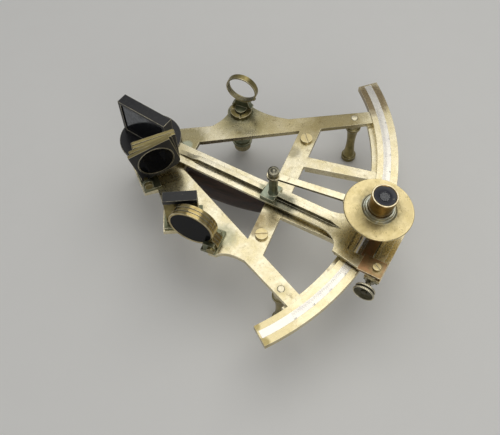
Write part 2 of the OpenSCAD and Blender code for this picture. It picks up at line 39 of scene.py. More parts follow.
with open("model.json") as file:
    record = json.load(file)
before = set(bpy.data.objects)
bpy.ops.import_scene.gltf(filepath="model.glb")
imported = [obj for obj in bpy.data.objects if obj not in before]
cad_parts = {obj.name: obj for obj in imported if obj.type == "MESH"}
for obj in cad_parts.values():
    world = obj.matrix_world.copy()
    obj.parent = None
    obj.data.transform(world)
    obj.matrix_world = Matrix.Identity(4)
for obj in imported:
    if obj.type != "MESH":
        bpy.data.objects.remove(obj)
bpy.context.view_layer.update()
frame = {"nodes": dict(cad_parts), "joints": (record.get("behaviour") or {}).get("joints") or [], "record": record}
JOINTS = {joint["name"]: joint for joint in frame["joints"]}

MM = 0.001
PIVOT = Vector(JOINTS["index_travel"]["pos_m"])


def linear(code):
    """Turns an sRGB hex colour into the linear one that Blender's sockets hold."""
    parts = [int(code[i:i + 2], 16) / 255 for i in (1, 3, 5)]
    return tuple(c / 12.92 if c <= 0.04045 else ((c + 0.055) / 1.055) ** 2.4 for c in parts)


def hue(name, what, code):
    """A colour that a user may change."""
    return bpy.props.FloatVectorProperty(
        name=name, description=what, subtype='COLOR', size=3, min=0, max=1, default=linear(code))


def length(name, what, mm):
    """A length that a user may change, given in millimetres."""
    return bpy.props.FloatProperty(
        name=name, description=what, unit='LENGTH', precision=5, min=0, default=mm * MM)


class SextantSizes(bpy.types.PropertyGroup):
    edge: length("Edge rounding", "Radius of the rounded edges of a cast or milled piece", 0.3)
    fine_edge: length("Fine edge", "Radius of the rounded edges of a small piece", 0.14)
    tick: length("Graduation width", "Width of a cut line on the silver", 0.07)
    numeral: length("Numeral height", "Height of the engraved numerals", 1.7)
    thread_pitch: length("Thread pitch", "Pitch of the thread in the telescope ring", 0.6)
    ridge: length("Ridge depth", "Depth of the ridges on the milled heads", 0.35)
    sky: bpy.props.FloatProperty(
        name="Sky panel", description="Power of the large lamp over the instrument", unit='POWER',
        min=0, default=5.8)
    fill: bpy.props.FloatProperty(
        name="Fill panel", description="Power of the lamp on the near side", unit='POWER',
        min=0, default=3.0)


class SextantColours(bpy.types.PropertyGroup):
    cream: hue("Pale brass", "Rubbed brass of the limb and the bars", "#efe6ca")
    gold: hue("Gold brass", "Lacquered brass of the disc and the rings", "#ead9a8")
    olive: hue("Olive brass", "Brass that has dulled to olive", "#a89a68")
    green: hue("Green brass", "Brass with a grey green bloom", "#8b8e74")
    copper: hue("Copper brass", "Brass with a copper tone", "#b98d68")
    verdigris: hue("Verdigris", "Pale bloom round the posts and the collars", "#b3bdab")
    stain: hue("Stain", "Dark spots and pits in the brass", "#3a3020")
    # This colour darkens the faces marked for it: painted shade on the flanks of the index arm's rib and of the
    # magnifier arm and in the tangent head's hollow. It is also a stain on the frame.
    grime: hue("Grime", "Dark film on the faces that no hand rubs", "#474331")
    worn: hue("Worn edge", "Bright brass where an edge has been rubbed", "#efe6c8")
    silver: hue("Silver", "Inlaid silver", "#ebe7dc")
    tarnish: hue("Tarnish", "Tarnish on the silver", "#d8d3d0")
    cut: hue("Cut lines", "Wax in the graduations", "#77716f")
    mirror: hue("Mirror", "Aged silvering behind the mirror's glass", "#696c71")
    shade: hue("Shade glass", "Dark tinted glass", "#0d0e12")
    lens: hue("Lens", "Clear glass of the magnifier", "#8d9096")
    ebony: hue("Ebony", "Turned wood of the grip", "#241a16")
    table: hue("Table", "The floor under the instrument", "#f3f2ef")


# Placing

def spot(x, y, z):
    """A step in millimetres."""
    return Matrix.Translation(Vector((x, y, z)) * MM)


def turn(degrees, axis):
    """A turn in degrees."""
    return Matrix.Rotation(math.radians(degrees), 4, axis)


PLACE = Matrix.Translation(PIVOT)
ACROSS_ARM = JOINTS["tangent_turn"]["axis"]
ARM = PLACE @ turn(math.degrees(math.atan2(ACROSS_ARM[1], ACROSS_ARM[0])), 'Z')
TELE = PLACE @ spot(58.6, -54.8, 0)
COLLAR = TELE @ spot(1.9, 0, 24) @ turn(90, 'Y')
DISC = ARM @ spot(11.1, -195.3, 29) @ turn(6.5, 'X')
KNOB = ARM @ spot(0, -114.5, 31.9)
TANGENT = ARM @ spot(-39.5, -210.5, -3) @ turn(90, 'Y')


def clear():
    """Leaves edit mode and deselects everything."""
    if bpy.context.mode != 'OBJECT':
        bpy.ops.object.mode_set(mode='OBJECT')
    bpy.ops.object.select_all(action='DESELECT')


def take(piece):
    """Makes one piece the selected and active one."""
    clear()
    piece.select_set(True)
    bpy.context.view_layer.objects.active = piece


def settle(piece, at):
    """Writes a piece's place into its mesh, so that its object sits at the origin."""
    take(piece)
    bpy.ops.object.transform_apply(location=True, rotation=True, scale=True)
    piece.matrix_world = at
    bpy.ops.object.transform_apply(location=True, rotation=True, scale=True)
    return piece


def modify(piece, kind, **settings):
    """Adds a modifier and applies it."""
    take(piece)
    modifier = piece.modifiers.new(kind, kind)
    for key, value in settings.items():
        setattr(modifier, key, value)
    bpy.ops.object.modifier_apply(modifier=modifier.name)


def recalculate(piece):
    """Merges a piece's doubled points and turns its faces outwards."""
    take(piece)
    bpy.ops.object.mode_set(mode='EDIT')
    bpy.ops.mesh.select_all(action='SELECT')
    bpy.ops.mesh.remove_doubles(threshold=1e-7)
    bpy.ops.mesh.normals_make_consistent(inside=False)
    bpy.ops.object.mode_set(mode='OBJECT')


def turned(name, profile, at, segments, hollow=False):
    """Turns a round piece about Z: a ring is extruded and resized from station to station.

    A station is a radius and a height in millimetres. A hollow piece's last station is its first.
    """
    clear()
    radius, height = profile[0]
    bpy.ops.mesh.primitive_circle_add(
        vertices=segments, radius=radius * MM, fill_type='NOTHING', location=(0, 0, height * MM))
    piece = bpy.context.object
    piece.name = piece.data.name = name
    bpy.ops.object.mode_set(mode='EDIT')
    for next_radius, next_height in profile[1:]:
        bpy.ops.mesh.extrude_region_move(
            TRANSFORM_OT_translate={"value": (0, 0, (next_height - height) * MM)})
        grow = next_radius / radius
        bpy.ops.transform.resize(value=(grow, grow, 1), center_override=(0, 0, 0))
        radius, height = next_radius, next_height
    if not hollow:
        bpy.ops.mesh.select_all(action='SELECT')
        bpy.ops.mesh.fill_holes(sides=0)
    bpy.ops.object.mode_set(mode='OBJECT')
    recalculate(piece)
    return settle(piece, at)


def mill(piece, at, low, high, reach, segments):
    """Cuts ridges in a round piece's rim: every second point of a band is drawn to the axis."""
    depth = bpy.context.scene.sextant_sizes.ridge
    take(piece)
    bpy.ops.object.mode_set(mode='EDIT')
    bpy.ops.mesh.select_mode(type='VERT')
    bpy.ops.mesh.select_all(action='DESELECT')
    bpy.ops.object.mode_set(mode='OBJECT')
    back = at.inverted()
    for vertex in piece.data.vertices:
        point = back @ vertex.co / MM
        around = round(math.atan2(point.y, point.x) / (2 * math.pi) * segments)
        wide = math.hypot(point.x, point.y) > reach
        vertex.select = bool(wide and low <= point.z <= high and around % 2)
    piece.data.transform(back)
    bpy.ops.object.mode_set(mode='EDIT')
    grow = 1 - depth / (reach * MM)
    bpy.ops.transform.resize(value=(grow, grow, 1), center_override=(0, 0, 0))
    bpy.ops.object.mode_set(mode='OBJECT')
    piece.data.transform(at)


def block(name, low, high, at):
    """A rectangular blank between two corners in millimetres."""
    clear()
    low, high = Vector(low) * MM, Vector(high) * MM
    bpy.ops.mesh.primitive_cube_add(size=1, location=(low + high) / 2, scale=high - low)
    piece = bpy.context.object
    piece.name = piece.data.name = name
    return settle(piece, at)


def copy_of(node, name):
    """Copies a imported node's mesh, with its triangles joined into whole faces."""
    clear()
    mesh = frame["nodes"][node].data.copy()
    mesh.name = name
    mesh.materials.clear()
    piece = bpy.data.objects.new(name, mesh)
    bpy.context.scene.collection.objects.link(piece)
    take(piece)
    if mesh.has_custom_normals:
        bpy.ops.mesh.customdata_custom_splitnormals_clear()
    bpy.ops.object.mode_set(mode='EDIT')
    bpy.ops.mesh.select_all(action='SELECT')
    bpy.ops.mesh.remove_doubles(threshold=1e-6)
    bpy.ops.mesh.dissolve_limited(angle_limit=math.radians(0.7))
    bpy.ops.object.mode_set(mode='OBJECT')
    return piece


def ease(piece, width, rub=None, soil_and_shade=None):
    """Rounds a piece's edges and marks them, and the faces that rub picks, as rubbed; the faces that the last
    picker chooses are marked for darkening, which is dust on some pieces and painted shade on others.
    """
    mesh = piece.data
    blank = bpy.data.materials.new("blank")
    mesh.materials.clear()
    mesh.materials.append(blank)
    mesh.materials.append(blank)
    if width > 0:
        modify(piece, 'BEVEL', width=width, segments=2, limit_method='ANGLE',
               angle_limit=math.radians(35), material=1, use_clamp_overlap=False)
    mesh.attributes.new("rubbed", 'FLOAT', 'CORNER')
    # The second mark darkens a face: dust on the shade frames' rims, painted shade on the arm's flanks and in the
    # tangent head's hollow.
    mesh.attributes.new("soiled_and_shaded", 'FLOAT', 'CORNER')
    for face in mesh.polygons:
        eased = face.material_index == 1
        for loop in face.loop_indices:
            mesh.attributes["rubbed"].data[loop].value = float(eased or bool(rub and rub(face)))
            mesh.attributes["soiled_and_shaded"].data[loop].value = float(
                not eased and bool(soil_and_shade and soil_and_shade(face)))
        face.material_index = 0
    mesh.materials.clear()
    bpy.data.materials.remove(blank)
    take(piece)
    bpy.ops.object.shade_smooth_by_angle(angle=math.radians(32))
    modify(piece, 'WEIGHTED_NORMAL', keep_sharp=True)


def band(at, reach, low, high):
    """Picks a turned piece's faces beyond a radius and between two heights, in millimetres."""
    back = at.inverted()

    def picks(face):
        point = back @ face.center / MM
        return math.hypot(point.x, point.y) > reach and low < point.z < high
    return picks


def sides(at, axis, low=-100, high=100):
    """Picks the faces that look along an axis of a place, between two heights in millimetres."""
    back = at.inverted()
    way = (at.to_3x3() @ Vector(axis)).normalized()
    return lambda face: face.normal.dot(way) > 0.7 and low < (back @ face.center / MM).z < high


def fit(piece, finish_name, body, slot, *nodes):
    """Gives a piece its finish, the body that it rides on and the nodes that it stands for."""
    piece.data.materials.clear()
    piece.data.materials.append(finish(finish_name))
    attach(piece, body)
    if nodes:
        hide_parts(*nodes)


BODY_OF = {node: body for body, nodes in frame["record"]["behaviour"]["bodies"].items()
           for node in nodes}
SLOT_OF = {part["node"]: part["material_slot"] for part in frame["record"]["subparts"]}


def dress(finish_name, *nodes, width=None, rub=None, soil_and_shade=None):
    """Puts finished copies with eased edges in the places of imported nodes, and gives the last."""
    if width is None:
        width = bpy.context.scene.sextant_sizes.edge
    for node in nodes:
        piece = copy_of(node, node + "_dressed")
        ease(piece, width, rub, soil_and_shade)
        fit(piece, finish_name, BODY_OF[node], SLOT_OF[node], node)
    return piece


# Finishes

# A pattern's scale is 1000 over its size in millimetres. These are the numbers of the sockets
# of a Map Range node, and of a Mix node that mixes colours.
VALUE, FROM_LOW, FROM_HIGH, TO_LOW, TO_HIGH = range(5)
SHARE, UNDER, OVER = 0, 6, 7


def add(tree, kind, inputs=None, **settings):
    """Adds a node with its settings, values and links."""
    node = tree.nodes.new("ShaderNode" + kind)
    for key, value in settings.items():
        setattr(node, key, value)
    for key, value in (inputs or {}).items():
        if isinstance(value, bpy.types.NodeSocket):
            tree.links.new(value, node.inputs[key])
        else:
            node.inputs[key].default_value = value
    return node


def paint(colour):
    """A socket's colour, from a hex code or the name of a colour that a user may change."""
    if colour.startswith("#"):
        return (*linear(colour), 1)
    return (*getattr(bpy.context.scene.sextant_colours, colour), 1)


def fresh(name, **constants):
    """Starts a material: its shader with constants on its own sockets, and where a point lies."""
    material = bpy.data.materials.new(name)
    material.use_nodes = True
    tree = material.node_tree
    shader = tree.nodes["Principled BSDF"]
    for key, value in constants.items():
        shader.inputs[key.replace("_", " ")].default_value = value
    return material, tree, shader, add(tree, "TexCoord").outputs["Object"]


def aged_metal(name, bright, dull, spots, gloss, tone=14, bloom="#75633f", zones=()):
    """Old metal: broad tone changes, mottling, blots, clusters of pits, rubbed faces, and marked faces darkened as
    painted shade.

    Spots is how far blots and pits cover, gloss the least roughness, and tone the size of the
    broad changes in millimetres. A zone is a place, a spot of it and how far the zone reaches
    from there, in millimetres, its colour and its share there.
    """
    material, tree, shader, place = fresh(name, Metallic=1.0)
    broad = add(tree, "TexNoise", {"Vector": place, "Scale": 1000 / tone, "Detail": 5.0,
                                   "Roughness": 0.62, "Distortion": 0.4})
    mottle = add(tree, "TexNoise", {"Vector": place, "Scale": 1000 / 2.6, "Detail": 7.0,
                                    "Roughness": 0.7}).outputs[0]
    ragged = add(tree, "TexNoise", {"Vector": place, "Scale": 1000 / 6, "Detail": 8.0,
                                    "Roughness": 0.72, "Distortion": 0.5}).outputs[0]
    blots = add(tree, "TexNoise", {"Vector": place, "Scale": 1000 / 8, "Detail": 9.0,
                                   "Roughness": 0.74, "Distortion": 0.3})
    cells = add(tree, "TexVoronoi", {"Vector": place, "Scale": 1000 / 1.5})

    # Each layer is the share that it covers and its colour, from the metal upwards.
    clouded = add(tree, "MapRange", {VALUE: broad.outputs[0], FROM_LOW: 0.36, FROM_HIGH: 0.66})
    flecked = add(tree, "MapRange", {VALUE: mottle, FROM_LOW: 0.5, FROM_HIGH: 0.8, TO_HIGH: 0.35})
    layers = [(clouded, dull), (flecked, dull)]
    for at, centre, reach, shade, share in zones:
        reach *= MM
        away = add(tree, "VectorMath", {0: place, 1: (at @ spot(*centre)).translation},
                   operation='DISTANCE')
        uneven = add(tree, "Math", {0: ragged, 1: reach, 2: away.outputs["Value"]},
                     operation='MULTIPLY_ADD')
        cover = add(tree, "MapRange", {VALUE: uneven.outputs[0], FROM_LOW: 1.2 * reach,
                                       FROM_HIGH: 1.75 * reach, TO_LOW: share, TO_HIGH: 0.0})
        layers.append((cover, shade))
    blotted = add(tree, "MapRange", {VALUE: blots.outputs[0], FROM_LOW: 0.58, FROM_HIGH: 0.68,
                                     TO_HIGH: 0.8 * spots})
    layers.append((blotted, bloom))
    pitted = add(tree, "MapRange", {VALUE: cells.outputs["Distance"], FROM_LOW: 0.1,
                                    FROM_HIGH: 0.28, TO_LOW: 1.0, TO_HIGH: 0.0})
    clusters = add(tree, "MapRange", {VALUE: ragged, FROM_LOW: 0.5, FROM_HIGH: 0.62,
                                      TO_HIGH: spots})
    dots = add(tree, "Math", {0: pitted.outputs[0], 1: clusters.outputs[0]}, operation='MULTIPLY')
    layers.append((dots, "stain"))
    rubbed = add(tree, "Attribute", attribute_name="rubbed")
    polish = add(tree, "MapRange", {VALUE: mottle, FROM_LOW: 0.35, FROM_HIGH: 0.6, TO_LOW: 0.95,
                                    TO_HIGH: 0.45})
    bared = add(tree, "Math", {0: rubbed.outputs["Fac"], 1: polish.outputs[0]},
                operation='MULTIPLY')
    layers.append((bared, "worn"))
    # Marked faces take the dark colour in patches: painted shade on the arm's flanks and in the tangent head's
    # hollow.
    soiled_and_shaded = add(tree, "Attribute", attribute_name="soiled_and_shaded")
    painted_shade_patches = add(tree, "MapRange", {VALUE: ragged, FROM_LOW: 0.4, FROM_HIGH: 0.65, TO_LOW: 1.0,
                                  TO_HIGH: 0.7})
    painted_shade_share = add(tree, "Math", {0: soiled_and_shaded.outputs["Fac"], 1: painted_shade_patches.outputs[0]},
                operation='MULTIPLY')
    layers.append((painted_shade_share, "grime"))
    colour = paint(bright)
    for share, shade in layers:
        colour = add(tree, "Mix", {SHARE: share.outputs[0], UNDER: colour, OVER: paint(shade)},
                     data_type='RGBA').outputs[2]
    tree.links.new(colour, shader.inputs["Base Color"])

    rough = add(tree, "MapRange", {VALUE: mottle, FROM_LOW: 0.3, FROM_HIGH: 0.75,
                                   TO_LOW: gloss - 0.04, TO_HIGH: gloss + 0.14})
    tree.links.new(rough.outputs[0], shader.inputs["Roughness"])
    relief = add(tree, "Math", {0: mottle, 1: dots.outputs[0]}, operation='SUBTRACT')
    bump = add(tree, "Bump", {"Height": relief.outputs[0], "Strength": 0.08, "Distance": 0.0002})
    tree.links.new(bump.outputs[0], shader.inputs["Normal"])
    return material


def black_lacquer(name, wear=0.85, least=0.25, base="#1d1d20"):
    """Black lacquer on brass: satin, a little dusty, rubbed through to the brass at the edges."""
    material, tree, shader, place = fresh(name)
    mottle = add(tree, "TexNoise", {"Vector": place, "Scale": 1000 / 3.0, "Detail": 7.0,
                                    "Roughness": 0.7})
    dust = add(tree, "MapRange", {VALUE: mottle.outputs[0], FROM_LOW: 0.45, FROM_HIGH: 0.8,
                                  TO_HIGH: 0.3})
    colour = add(tree, "Mix", {SHARE: dust.outputs[0], UNDER: paint(base), OVER: paint("#57544f")},
                 data_type='RGBA').outputs[2]
    chips = add(tree, "TexNoise", {"Vector": place, "Scale": 1000 / 5.0, "Detail": 6.0,
                                   "Roughness": 0.75})
    chip = add(tree, "MapRange", {VALUE: chips.outputs[0], FROM_LOW: 0.68, FROM_HIGH: 0.71})
    rubbed = add(tree, "Attribute", attribute_name="rubbed").outputs["Fac"]
    patchy = add(tree, "MapRange", {VALUE: chips.outputs[0], FROM_LOW: 0.36, FROM_HIGH: 0.56,
                                    TO_LOW: wear, TO_HIGH: least})
    edge = add(tree, "Math", {0: rubbed, 1: patchy.outputs[0]}, operation='MULTIPLY')
    bare = add(tree, "Math", {0: edge.outputs[0], 1: chip.outputs[0]}, operation='MAXIMUM',
               use_clamp=True)
    soiled_and_shaded = add(tree, "Attribute", attribute_name="soiled_and_shaded").outputs["Fac"]
    brass = add(tree, "Mix", {SHARE: soiled_and_shaded, UNDER: paint("worn"), OVER: paint("olive")},
                data_type='RGBA').outputs[2]
    colour = add(tree, "Mix", {SHARE: bare.outputs[0], UNDER: colour, OVER: brass},
                 data_type='RGBA').outputs[2]
    tree.links.new(colour, shader.inputs["Base Color"])
    tree.links.new(bare.outputs[0], shader.inputs["Metallic"])
    rough = add(tree, "MapRange", {VALUE: mottle.outputs[0], FROM_LOW: 0.3, FROM_HIGH: 0.75,
                                   TO_LOW: 0.28, TO_HIGH: 0.5})
    tree.links.new(rough.outputs[0], shader.inputs["Roughness"])
    bump = add(tree, "Bump", {"Height": mottle.outputs[0], "Strength": 0.12, "Distance": 0.0002})
    tree.links.new(bump.outputs[0], shader.inputs["Normal"])
    return material


def tarnished_silver(name):
    """Silver let into the brass: brushed along the limb, with a lilac tarnish in soft clouds."""
    material, tree, shader, place = fresh(name, Metallic=1.0)
    cloud = add(tree, "TexNoise", {"Vector": place, "Scale": 1000 / 11, "Detail": 6.0,
                                   "Roughness": 0.65})
    level = add(tree, "MapRange", {VALUE: cloud.outputs[0], FROM_LOW: 0.4, FROM_HIGH: 0.72,
                                   TO_HIGH: 0.8})
    colour = add(tree, "Mix", {SHARE: level.outputs[0], UNDER: paint("silver"),
                               OVER: paint("tarnish")}, data_type='RGBA')
    tree.links.new(colour.outputs[2], shader.inputs["Base Color"])
    # The brush strokes are rings about the index axis, drawn coarser than real ones to show.
    centred = add(tree, "Mapping", {"Vector": place, "Location": -PIVOT})
    far = add(tree, "VectorMath", {0: centred.outputs[0]}, operation='LENGTH')
    brush = add(tree, "TexNoise", {"W": far.outputs["Value"], "Scale": 1000 / 0.25, "Detail": 2.0},
                noise_dimensions='1D')
    rough = add(tree, "MapRange", {VALUE: brush.outputs[0], TO_LOW: 0.16, TO_HIGH: 0.28})
    tree.links.new(rough.outputs[0], shader.inputs["Roughness"])
    bump = add(tree, "Bump", {"Height": brush.outputs[0], "Strength": 0.08, "Distance": 0.0001})
    tree.links.new(bump.outputs[0], shader.inputs["Normal"])
    return material


def engravers_wax(name):
    """Black engraver's wax in the cut lines: matt, with lighter patches where it has come out."""
    material, tree, shader, place = fresh(name, Roughness=0.7)
    loss = add(tree, "TexNoise", {"Vector": place, "Scale": 1000 / 1.5, "Detail": 3.0})
    level = add(tree, "MapRange", {VALUE: loss.outputs[0], FROM_LOW: 0.5, FROM_HIGH: 0.8,
                                   TO_HIGH: 0.4})
    colour = add(tree, "Mix", {SHARE: level.outputs[0], UNDER: paint("cut"),
                               OVER: paint("tarnish")}, data_type='RGBA')
    tree.links.new(colour.outputs[2], shader.inputs["Base Color"])
    return material


def aged_mirror(name):
    """Mirror glass whose silvering has darkened: a dim clear reflection with black specks."""
    material, tree, shader, place = fresh(name, Metallic=1.0)
    specks = add(tree, "TexNoise", {"Vector": place, "Scale": 1000 / 4, "Detail": 8.0,
                                    "Roughness": 0.75, "Distortion": 0.6})
    level = add(tree, "MapRange", {VALUE: specks.outputs[0], FROM_LOW: 0.48, FROM_HIGH: 0.7,
                                   TO_HIGH: 0.85})
    colour = add(tree, "Mix", {SHARE: level.outputs[0], UNDER: paint("mirror"),
                               OVER: paint("#141416")}, data_type='RGBA')
    tree.links.new(colour.outputs[2], shader.inputs["Base Color"])
    rough = add(tree, "MapRange", {VALUE: specks.outputs[0], FROM_LOW: 0.4, FROM_HIGH: 0.7,
                                   TO_LOW: 0.04, TO_HIGH: 0.25})
    tree.links.new(rough.outputs[0], shader.inputs["Roughness"])
    return material


def tinted_glass(name, tint, clear_part, ior):
    """Glass, ground and polished: a clean gloss over its tint, with a trace of dust."""
    material, tree, shader, place = fresh(
        name, IOR=ior, Transmission_Weight=clear_part, Specular_IOR_Level=0.25)
    dust = add(tree, "TexNoise", {"Vector": place, "Scale": 1000 / 6, "Detail": 6.0,
                                  "Roughness": 0.7})
    level = add(tree, "MapRange", {VALUE: dust.outputs[0], FROM_LOW: 0.5, FROM_HIGH: 0.85,
                                   TO_HIGH: 0.2})
    colour = add(tree, "Mix", {SHARE: level.outputs[0], UNDER: paint(tint),
                               OVER: paint("#48494c")}, data_type='RGBA')
    tree.links.new(colour.outputs[2], shader.inputs["Base Color"])
    rough = add(tree, "MapRange", {VALUE: dust.outputs[0], FROM_LOW: 0.4, FROM_HIGH: 0.8,
                                   TO_LOW: 0.04, TO_HIGH: 0.2})
    tree.links.new(rough.outputs[0], shader.inputs["Roughness"])
    return material


def turned_ebony(name):
    """Ebony turned and waxed: near black, with faint brown grain along the grip and fine pores."""
    material, tree, shader, place = fresh(name, Coat_Weight=0.25, Coat_Roughness=0.3)
    drawn = add(tree, "Mapping", {"Vector": place, "Scale": (1.0, 0.06, 1.0)})
    grain = add(tree, "TexNoise", {"Vector": drawn.outputs[0], "Scale": 1000 / 1.2, "Detail": 7.0,
                                   "Roughness": 0.65, "Distortion": 0.3})
    level = add(tree, "MapRange", {VALUE: grain.outputs[0], FROM_LOW: 0.42, FROM_HIGH: 0.72})
    colour = add(tree, "Mix", {SHARE: level.outputs[0], UNDER: paint("ebony"),
                               OVER: paint("#4a3023")}, data_type='RGBA')
    tree.links.new(colour.outputs[2], shader.inputs["Base Color"])
    rough = add(tree, "MapRange", {VALUE: grain.outputs[0], TO_LOW: 0.35, TO_HIGH: 0.6})
    tree.links.new(rough.outputs[0], shader.inputs["Roughness"])
    bump = add(tree, "Bump", {"Height": grain.outputs[0], "Strength": 0.2, "Distance": 0.0002})
    tree.links.new(bump.outputs[0], shader.inputs["Normal"])
    return material


METALS = {
    # Cast brass, rubbed bright where hands reach it, dulled and green round what it carries. The olive zones on
    # the limb on the telescope's side are painted shade, and the dark zones round the telescope's boss are partly
    # tarnish and partly a painted dark reflection.
    "cast_brass": dict(bright="cream", dull="#dbcea4", spots=0.65, gloss=0.25, zones=(
        (PLACE, (-31, -33, 0), 11, "#a0966a", 0.6),
        (PLACE, (-62, -90, 0), 11, "green", 0.6),
        (PLACE, (-47, -112, 0), 6, "#6b5a38", 0.7),
        (PLACE, (-37, -107, 0), 7, "#6b5a38", 0.75),
        (PLACE, (34, -112, 0), 6, "grime", 0.45),
        (PLACE, (14, -26, 0), 15, "#8a7f54", 0.75),
        # Partly tarnish, partly a painted dark reflection on the telescope boss's web.
        (PLACE, (52, -62, 0), 23, "#989066", 0.65),
        (PLACE, (8, -27, 0), 5, "verdigris", 0.7),
        # These three zones are painted shade over the limb on the telescope's side.
        (PLACE, (77, -134, 0), 24, "#8f8158", 0.85),
        (PLACE, (60, -98, 0), 24, "#b5a678", 0.6),
        (PLACE, (58, -118, 0), 12, "#9f9168", 0.55),
        (PLACE, (-36, -117, 0), 8, "#a0906a", 0.6),
        # Partly tarnish, partly a painted dark reflection round the telescope's socket.
        (TELE, (0, 0, 0), 13, "#5d6150", 0.8),
        (PLACE, (-87, -148, 0), 5, "olive", 0.4))),
    # Brass scraped flat and polished for the divisions, with a painted shadow over the limb's end on the
    # telescope's side, and duller with brown stains at its other end.
    "limb_brass": dict(bright="#f1e6c6", dull="#e3d5aa", spots=0.35, gloss=0.22, zones=(
        # Painted shadow over the limb's end on the telescope's side.
        (PLACE, (112, -153, 0), 18, "#87765a", 0.9),
        (PLACE, (-118, -150, 0), 22, "#d2c499", 0.9),
        (PLACE, (-121.5, -141, 0), 4, "#85753f", 0.7),
        (PLACE, (-130, -151.5, 0), 4, "#85753f", 0.7))),
    # Drawn brass of the arm, green round the post; its plate is browner, and greener beside the disc, partly
    # tarnish and partly painted shade of the disc.
    "arm_brass": dict(bright="#fbf3da", dull="#e9ddb6", spots=0.65, gloss=0.25, zones=(
        (ARM, (0, -22, 14), 13, "olive", 0.5),
        (ARM, (0, -112, 8), 10, "green", 0.85),
        (ARM, (-4, -126, 5), 10, "#55584a", 0.85),
        # Partly tarnish, partly painted shade of the disc over the plate and beside it.
        (ARM, (-2, -188, 0), 24, "#b8ab80", 0.85),
        (ARM, (-14, -180, 0), 6, "green", 0.5))),
    # Lacquered brass of the disc, with grime round its collar, and a pale bloom on the collar that is also a
    # painted highlight.
    "gold_brass": dict(bright="gold", dull="#d6c48f", spots=0.9, gloss=0.32, tone=9, zones=(
        (DISC, (-14, 4, 2), 12, "#9a8a5a", 0.5),
        (DISC, (0, 0, 2), 16, "#6b6446", 0.75),
        # Pale bloom on the collar, brightened further as a painted highlight.
        (DISC, (0, 0, 4), 10.8, "#dde6e0", 0.95))),
    # Turned brass that has dulled to olive out of the hand's reach.
    "olive_brass": dict(bright="olive", dull="#69603c", spots=0.7, gloss=0.34),
    # Lacquered brass of the round rims: smooth, with a soft streaky sheen.
    "ring_brass": dict(bright="#cdb980", dull="#a08c5a", spots=0.6, gloss=0.18, tone=7),
    # The legs' studs come through to the frame's face and are rubbed with it.
    "leg_brass": dict(bright="olive", dull="#69603c", spots=0.6, gloss=0.3, zones=(
        (PLACE, (85, -143, 0), 9, "cream", 0.9),
        (PLACE, (-87, -148, 0), 9, "cream", 0.9))),
    # Drawn brass tube whose lacquer has gone brown: glossy, with a warm dark reflection.
    "brown_brass": dict(bright="#b89c66", dull="#86683c", spots=0.4, gloss=0.14, tone=8),
    # Cast fittings under a matt grey green bloom, paler round the post's foot.
    "green_brass": dict(
        bright="green", dull="#656852", spots=1.0, gloss=0.34, tone=7, bloom="verdigris",
        zones=((ARM, (0, -112, 6), 9, "verdigris", 0.65),)),
    # Milled heads worn to a pale grey where fingers turn them.
    "grey_brass": dict(bright="#b4af9c", dull="#757160", spots=0.6, gloss=0.28, tone=6),
    # Brass cut by the chaser and never lacquered; its near white colour is partly bright cut metal and partly a
    # painted highlight on the crests.
    "bright_thread": dict(bright="#f4f3ea", dull="#d8d6ca", spots=0.2, gloss=0.4, tone=5),
    # Brass with a copper flush, olive round its screw.
    "copper_brass": dict(bright="copper", dull="#93805a", spots=0.8, gloss=0.3, tone=7, zones=(
        (ARM, (-21, -212, 3), 6.5, "#a39a74", 0.8),)),
}
OTHERS = {
    "black_lacquer": black_lacquer,
    # Lacquer of the thin shade frames, with bright brass wherever an edge has been handled.
    "worn_lacquer": lambda name: black_lacquer(name, wear=1.0, least=0.85),
    # Lacquer that has gone a bluish grey in the eyepiece's dish.
    "cup_lacquer": lambda name: black_lacquer(name, base="#34353d"),
    "tarnished_silver": tarnished_silver,
    "engravers_wax": engravers_wax,
    "aged_mirror": aged_mirror,
    # Smoked glass seen almost black, with the faint sheen that dust leaves it.
    "dark_shade_glass": lambda name: tinted_glass(name, "shade", 0.35, 1.2),
    # Clear lens glass, grey with what it reflects.
    "lens_glass": lambda name: tinted_glass(name, "lens", 0.75, 1.52),
    "turned_ebony": turned_ebony,
}
MADE = {}


def finish(name):
    """Makes each finish once, the first time that a piece asks for it."""
    if name not in MADE:
        MADE[name] = aged_metal(name, **METALS[name]) if name in METALS else OTHERS[name](name)
    return MADE[name]


# The stage

TABLE_SIZE = 6
ROOM_COLOUR = "#e4e6ea"
ROOM_STRENGTH = 0.35
PANEL_AIM = Vector((0, 0, 0.05))
PANEL_COLOUR = "#fffdf6"
# Name, way from the sextant, distance, side, twist in degrees and shift in its own plane. The sky
# panel is twisted and shifted so that its edge falls across the brass.
PANELS = (
    ("sky_panel", (0.53, 0.02, 0.85), 1.3, 1.25, 22.8, (0.03, 0.36, 0)),
    ("fill_panel", (-0.75, -0.55, 0.5), 1.4, 0.9, 0, (0, 0, 0)))
CAMERA_PLACE = Vector((-294.98, -219.61, 438.46))
CAMERA_RIGHT = Vector((0.38142, -0.92415, -0.0221))
CAMERA_WAY = Vector((0.49213, 0.22323, -0.84142))
CAMERA_LENS = 48.555


